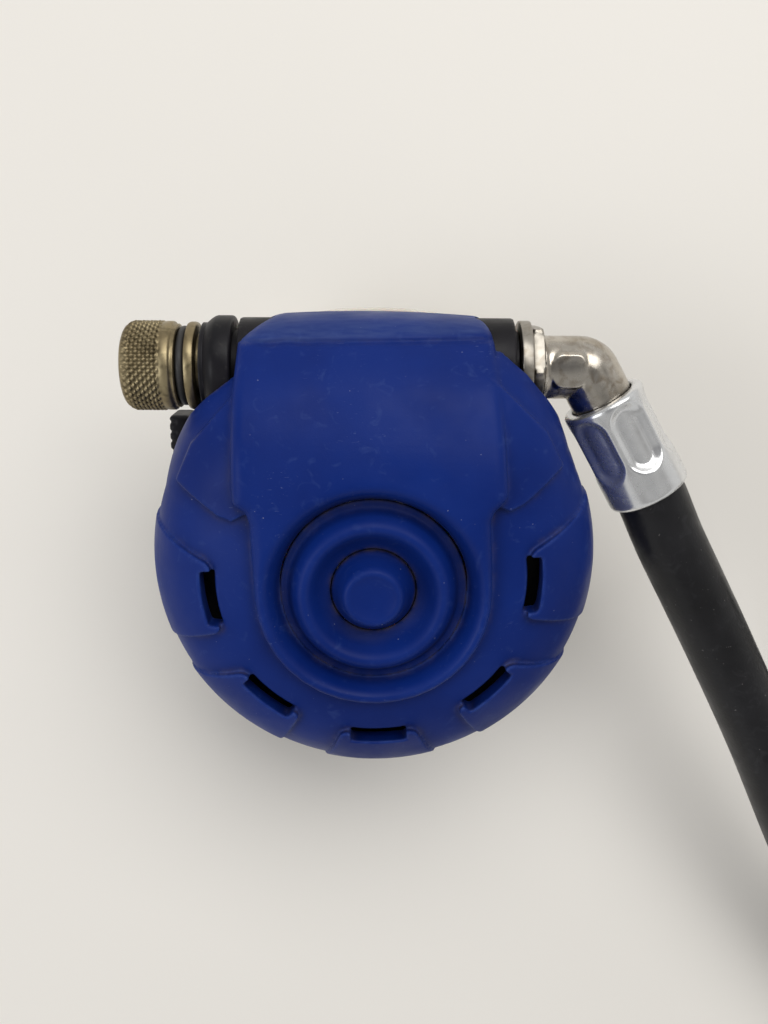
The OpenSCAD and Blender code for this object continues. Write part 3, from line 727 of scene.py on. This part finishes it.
def elbow_field(x, y, z):
    """The elbow in the case's frame, moved so that its corner is the origin."""
    bent = math.radians(ELBOW_TURN)
    out = np.array([math.cos(bent), -math.sin(bent), 0])
    bend = 2.2
    tangent = bend * math.tan(bent / 2)
    line = [(-14, 0, 0)] + [
        (-tangent + bend * math.sin(math.radians(a)), bend * math.cos(math.radians(a)) - bend, 0)
        for a in range(0, ELBOW_TURN + 1, 6)] + [tuple(out * 30)]
    body = tube_along(line, x, y, z, ELBOW_R)
    s = x * out[0] + y * out[1]
    body = soft_max(body, -7.2 - x, 0.4)
    body = soft_max(body, s - 13.6, 0.4)
    inlet = np.maximum(np.maximum(np.hypot(y, z) - 5.1, -11.8 - x), x + 6)
    body = np.minimum(body, inlet)
    # a step, a cone up to the nut and the flat pad on top
    body = soft_min(body, np.maximum(np.maximum(np.hypot(y, z) - 4.4, -13.9 - x), x + 6), 0.1)
    cone = np.maximum(np.hypot(y, z) - (5.9 - 0.9 * np.clip(x + 7.8, 0, 9)),
                      np.maximum(-7.8 - x, x + 6.5))
    body = soft_min(body, cone, 0.5)
    pad = soft_max(soft_max(abs(x + 3.6) - 2.6, abs(y) - 2.9, 1.6), z - 5.3, 0.3)
    body = soft_min(body, np.maximum(pad, 2 - z), 0.5)
    bore = tube_along(line, x, y, z, 2.6)
    return np.maximum(body, -bore)


carved("elbow_body", (-14, -13, -6.2), (12, 6.2, 6.4), 0.25, elbow_field,
        ELBOW, "inlet", "nickel", ("elbow",))

SLEEVE_FROM, SLEEVE_TO, SLEEVE_R = 6.2, 25.7, 7.35
DIMPLES, DIMPLE_FROM, DIMPLE_AT = 6, 48, 13.6


def sleeve_field(x, y, z):
    """The sleeve nut, with long hollows that have sloping walls and a flat floor."""
    r = np.hypot(x, y)
    part = 360 / DIMPLES
    a = (np.degrees(np.arctan2(y, x)) - DIMPLE_FROM + part / 2) % part - part / 2
    along = z - DIMPLE_AT
    across = np.hypot(SLEEVE_R * np.radians(a), np.maximum(abs(along) - 2.9, 0))
    slope = np.clip((3.75 - across) / 1.8, 0, 1)
    deep = 1.35 * slope * slope * (3 - 2 * slope)
    body = soft_max(r - SLEEVE_R, soft_max(SLEEVE_FROM - z, z - SLEEVE_TO, 0.1), 1.1)
    body = body + deep * np.clip((r - 4) / 3, 0, 1)
    return soft_max(body, 5.55 - r, 0.25)


carved("dimpled_sleeve", (-7.6, -7.6, 6), (7.6, 7.6, 25.9), 0.2, sleeve_field, OUTLET,
       "hose_nut", "chrome", ("hose_nut",))


# Case behind the cover, with its tube boss, mouth neck and exhaust port

CASE_OUT = eased([(0, -22.5), (27, -22.5), (30.5, -21.2), (33.6, -17.2), (35.2, -12),
                  (35.7, -7), (35.7, 2), (34.3, 5.5), (31.5, 5.6), (31.5, 9.4), (0, 9.4)], 2,
                 closed=False)
CASE_IN = eased([(0, -20.2), (26, -20.2), (29.4, -18.6), (31.8, -14.5), (33.4, -9), (33.4, 1),
                 (32.4, 3.2), (28.9, 4.4), (28.9, 12), (0, 12)], 2, closed=False)


def neck_frame(x, y, z):
    """Across and along the mouth's axis, from the case's frame."""
    c, s = math.cos(math.radians(MOUTH_TURN)), math.sin(math.radians(MOUTH_TURN))
    up, deep = y - MOUTH_Y, z - MOUTH_Z
    return x, c * up + s * deep, s * up - c * deep


def case_field(x, y, z):
    """The case in its own frame."""
    r = np.hypot(x, y)
    body = outline(r, z, CASE_OUT)
    # a rib round the bowl, the barrel's boss, the mouth's neck and the venturi lever's seat
    body = soft_min(body, soft_max(r - 36.1, abs(z + 8.2) - 0.55, 0.3), 0.4)
    around = np.hypot(y - BARREL_Y, z)
    boss = soft_max(around - 8.3, abs(x - 0.4) - 24.05, 0.6)
    body = soft_min(body, boss, 1.6)
    nx, ny, along = neck_frame(x, y, z)
    neck = soft_max(oval(nx, ny, 30, 19), abs(along - 6) - 6, 0.5)
    lip = soft_max(oval(nx, ny, 31, 20), abs(along - 11.2) - 0.5, 0.3)
    body = soft_min(body, soft_min(neck, lip, 0.3), 1.2)
    seat = soft_max(np.hypot(x - VENTURI_AT[0], y - VENTURI_AT[1]) - 5.2,
                    abs(z - VENTURI_AT[2]) - 1.4, 0.5)
    body = soft_min(body, seat, 0.6)
    # hollow, with its mouth, the exhaust's spoked port and room for the barrel and the lever
    body = np.maximum(body, -outline(r, z, CASE_IN))
    body = soft_max(body, -soft_max(oval(nx, ny, 26.4, 15.4), abs(along - 2) - 14, 0.1), 0.4)
    port = soft_max(np.hypot(x, y + 15) - 8.5, abs(z + 21.5) - 4, 0.1)
    for spoke in range(3):
        a = spoke * math.pi / 3
        off = abs(-math.sin(a) * x + math.cos(a) * (y + 15)) - 0.8
        port = np.maximum(port, -np.maximum(off, abs(z + 21.5) - 1.2))
    port = np.maximum(port, -np.maximum(np.hypot(x, y + 15) - 2.6, abs(z + 21.5) - 1.4))
    body = soft_max(body, -port, 0.3)
    body = np.maximum(body, 6.25 - around)
    body = np.maximum(body, -np.maximum(around - 8.6, 23.7 - abs(x - 0.4) - 0.45))
    room = np.maximum(np.maximum(abs(x + 11.5) - 3.5, abs(y - 28) - 7), abs(z - 2.1) - 4.1)
    return np.maximum(body, -room)


CASE_STEP = 0.42
carved("moulded_case", (-36.6, -36.6, -34), (36.6, 42.2, 10), CASE_STEP, case_field, CASE,
       "housing", "black_plastic", ("case",))


# Mouthpiece, tie, exhaust tee and venturi lever, behind the case


def mouth_field(x, y, z):
    """The mouthpiece along its own axis, z away from the case."""
    grow = np.clip((z - 11) / 13, 0, 1)
    tube = oval(x, y, 34 - 3 * grow, 23 - 5 * grow)
    tube = soft_max(tube, soft_max(5.7 - z, z - 25, 0.1), 0.8)
    tube = soft_min(tube, soft_max(oval(x, y, 35, 24), abs(z - 12.3) - 0.6, 0.4), 0.5)
    # lip flange, curved back at its sides as the gums are
    bow = z - 23.9 + 0.0042 * x * x
    notch = 5 * np.exp(-(x / 7) ** 2) * (y > 0)
    flange = soft_max(oval(x, y, 57.5, 28.3 - 0.009 * np.minimum(x * x, 300) - notch),
                      abs(bow) - 1.15, 1.0)
    body = soft_min(tube, flange, 1.6)
    # bite tabs behind the flange
    side = abs(x)
    stem = soft_max(soft_max(abs(side - 20.3) - 4.2, abs(y) - 1.6, 0.8), abs(z - 27) - 4.2, 0.8)
    body = soft_min(body, stem, 1.4)
    for at, height in ((30.4, 4.6), (27.4, 3.2)):
        lug = soft_max(soft_max(abs(side - 20.3) - 4.4, abs(y) - height, 1.2),
                       abs(z - at) - 0.8, 0.8)
        body = soft_min(body, lug, 0.8)
    bore = soft_max(oval(x, y, 30.1 - 3 * grow, 19.1 - 4.5 * grow), -z - 5, 0.1)
    seam = 0.12 * np.exp(-(y / 0.35) ** 2)
    return soft_max(body - seam, -bore, 0.5)


carved("clear_mouthpiece", (-30, -15, 5), (30, 15, 32), 0.4, mouth_field, MOUTH, "housing",
       "silicone", ("mouthpiece",))


def tie_field(x, y, z):
    """The tie round the mouthpiece: a band with fine teeth, its head and its cut tail."""
    band = soft_max(oval(x, y, 36.2, 25.2), -oval(x, y, 34.1, 23.1), 0.2)
    band = soft_max(band, abs(z - 8) - 1.6, 0.5)
    teeth = 0.18 * (np.sin(x * 4.5) > 0) * (abs(z - 8) < 1.0) * (abs(x) < 12)
    head = soft_max(soft_max(abs(x) - 2.9, abs(abs(y) - 13.2) - 1.5, 0.8), abs(z - 8) - 2, 0.6)
    head = np.maximum(head, y)
    tail = soft_max(soft_max(abs(x - 4.4) - 2.4, abs(y + 13.1) - 0.6, 0.3),
                    abs(z - 8) - 1.5, 0.4)
    return soft_min(soft_min(band + teeth, head, 0.4), tail, 0.2)


carved("tie_band", (-18.5, -15.4, 5.8), (18.5, 13, 10.2), 0.3, tie_field, MOUTH, "housing",
       "black_rubber", ("mouthpiece_tie",))


def tee_field(x, y, z):
    """The tee along its tube: z across the case, y up it, x towards the surface."""
    r = np.hypot(x, y)
    body = soft_max(r - 7.4, abs(z) - 27, 0.8)
    for groove in (20.4, 22.4, 24.4):
        body = soft_max(body, 0.35 - np.hypot(r - 7.5, abs(z) - groove), 0.3)
    block = soft_max(soft_max(abs(z) - 17, abs(y - 4) - 12, 4.5), abs(x + 2.2) - 6, 1.6)
    body = soft_min(body, block, 2.2)
    bore = r - 5.8
    room = soft_max(soft_max(abs(z) - 15, abs(y - 4.5) - 10, 3), abs(x + 2.8) - 4.4, 1)
    port = soft_max(np.hypot(z, y - 7) - 10.8, x + 2, 0.2)
    hollow = np.minimum(np.minimum(bore, room), port)
    return soft_max(body, -hollow, 0.4)


carved("rubber_tee", (-9.5, -9, -27.6), (8.6, 17, 27.6), 0.4, tee_field, TEE, "housing",
       "black_rubber", ("exhaust_tee",))


def venturi_field(x, y, z):
    """The lever in the case's frame, from its pivot; z towards the cover."""
    disc = soft_max(np.hypot(x, y) - 4.6, abs(z + 2.8) - 1, 0.7)
    arm = soft_max(soft_max(abs(x + 8.6) - 8.7, abs(y - 1.6) - 3 + 0.08 * (x + 9), 1.5),
                   abs(z + 2.8) - 1, 0.6)
    pad = soft_max(soft_max(abs(x + 16.5) - 2, abs(y - 5.4) - 3.8, 1.0),
                   abs(z - 1.1) - 4.2, 1.2)
    grip = 0.25 * np.clip(np.sin(y * 3.4), 0, 1) * (x < -17)
    body = soft_min(soft_min(disc, arm, 1.0), pad + grip, 0.8)
    return soft_max(body, 1.2 - np.hypot(x, y), 0.2)


carved("venturi_thumb_lever", (-19.4, -4.8, -4), (4.8, 9.6, 5.5), 0.25, venturi_field,
       CASE @ shift(*VENTURI_AT), "venturi", "black_plastic", ("venturi_lever",))


# The hose's far end


PITCH, THREAD_DEPTH, THREAD_FROM, THREAD_TO = 1.058, 0.62, 28.3, 37.5


def hex_and_thread(radius, height, a):
    """The end fitting's spanner flats, and its thread."""
    radius, height = hexagon(7.2, 6.2, math.pi / 2)(radius, height, a)
    phase = (height / PITCH - a / (2 * math.pi)) % 1
    cut = THREAD_DEPTH * np.clip(np.abs(phase - 0.5) * 2.6 - 0.3, 0, 1)
    near = (np.clip((height - THREAD_FROM) / 0.8, 0, 1)
            * np.clip((THREAD_TO - height) / 0.8, 0, 1))
    return np.where(radius > 4.5, radius - cut * near, radius), height


lathe("crimped_ferrule",
      [(6.28, 0), (6.6, 0), (6.75, 0.4), (6.75, 2.6), (6.35, 3.0), (6.35, 4.2), (6.75, 4.6),
       (6.75, 7.2), (6.35, 7.6), (6.35, 8.8), (6.75, 9.2), (6.75, 13), (6.5, 14.6),
       (5.6, 15.6), (5.2, 15.98), (3, 15.98), (3, 9)],
      END, "inlet", "nickel", ("end_ferrule",), sharp=40)
lathe("end_hex", [(2.1, 16.05), (6.3, 16.05), (7.0, 16.5), (7.2, 16.9), (7.2, 23.2),
                  (7.0, 23.5), (6.3, 23.95), (6.1, 24.1), (6.1, 25.6), (5.9, 25.95),
                  (4.1, 26), (4.0, 26.2), (4.0, 28), (4.4, 28.05)]
      + [(4.76, h) for h in steps(28.4, 36.5, 0.11)] + [(4.3, 36.95), (2.3, 37), (2.1, 36.8)],
      END, "inlet", "nickel", ("end_fitting",), n=120, wave=hex_and_thread, sharp=35)
lathe("end_ring", ring_section(4.6, 0.6, 27), END, "inlet", "black_rubber", ("end_o_ring",))


# Light, floor and what is behind

floor_finish = Finish("pale_surface", 0.6)
floor_finish.mottle((0.80, 0.775, 0.73), (0.82, 0.795, 0.75), 0.004, 0.2)
floor_finish.bump(floor_finish.noise(1.2, 3), 0.01)
floor_mesh = bpy.data.meshes.new("surface")
FLOOR = 3.0                      # half its width, in metres
floor_mesh.from_pydata([(-FLOOR, -FLOOR, 0), (FLOOR, -FLOOR, 0), (FLOOR, FLOOR, 0),
                        (-FLOOR, FLOOR, 0)], [], [(0, 1, 2, 3)])
floor = bpy.data.objects.new("surface", floor_mesh)
floor_mesh.materials.append(floor_finish.done())
bpy.context.scene.collection.objects.link(floor)


def softbox(name, at, target, size, power, colour):
    """A soft rectangular lamp that faces its target."""
    data = bpy.data.lights.new(name, "AREA")
    data.shape = "RECTANGLE"
    data.size, data.size_y = size
    data.energy = power
    data.color = colour
    made = bpy.data.objects.new(name, data)
    bpy.context.scene.collection.objects.link(made)
    made.location = at
    made.rotation_mode = "QUATERNION"
    made.rotation_quaternion = (Vector(target) - Vector(at)).to_track_quat("-Z", "Y")


softbox("key", (0.2, 0.45, 0.85), (0, 0, 0.03), (0.9, 0.6), 6.0, (1, 0.985, 0.96))
softbox("fill", (-0.7, -0.2, 0.7), (0, 0, 0.03), (0.5, 0.5), 2.4, (0.97, 0.98, 1))
world = bpy.data.worlds.new("studio")
bpy.context.scene.world = world
world.use_nodes = True
nodes, links = world.node_tree.nodes, world.node_tree.links
background = nodes["Background"]
background.inputs["Strength"].default_value = 0.67
# light walls, a dim band above them and a dark spot straight above
around = nodes.new("ShaderNodeTexCoord")
split = nodes.new("ShaderNodeSeparateXYZ")
links.new(around.outputs["Generated"], split.inputs[0])
walls = nodes.new("ShaderNodeValToRGB")
walls.color_ramp.elements[0].position = 0.0
walls.color_ramp.elements[0].color = (1.0, 0.985, 0.96, 1)
walls.color_ramp.elements[1].position = 0.97
walls.color_ramp.elements[1].color = (0.22, 0.22, 0.23, 1)
for at, shade in ((0.45, (0.95, 0.94, 0.92, 1)), (0.62, (0.35, 0.34, 0.33, 1)),
                  (0.78, (0.75, 0.74, 0.72, 1))):
    walls.color_ramp.elements.new(at).color = shade
links.new(split.outputs["Z"], walls.inputs["Fac"])
links.new(walls.outputs["Color"], background.inputs["Color"])
bpy.context.scene.view_settings.view_transform = "Standard"


# CAD nodes that show as they are

for slot_name, names in {
    "black_plastic": ("barrel", "cover_ring"),
    "black_rubber": ("gland_o_ring", "orifice_o_ring", "elbow_o_ring", "valve_seat"),
    "silicone": ("diaphragm", "exhaust_valve"),
    "brass": ("adjusting_stem", "orifice", "spring_pad"),
    "nickel": ("hose_ferrule",),
    "steel": ("valve_spring", "lever_washer", "lever_nut", "demand_lever", "venturi_screw",
              "diaphragm_disc"),
    "white_plastic": ("poppet", "venturi_vane"),
}.items():
    for node_name in names:
        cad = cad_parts[node_name]
        cad.data.materials.clear()
        cad.data.materials.append(MATERIALS[slot_name])
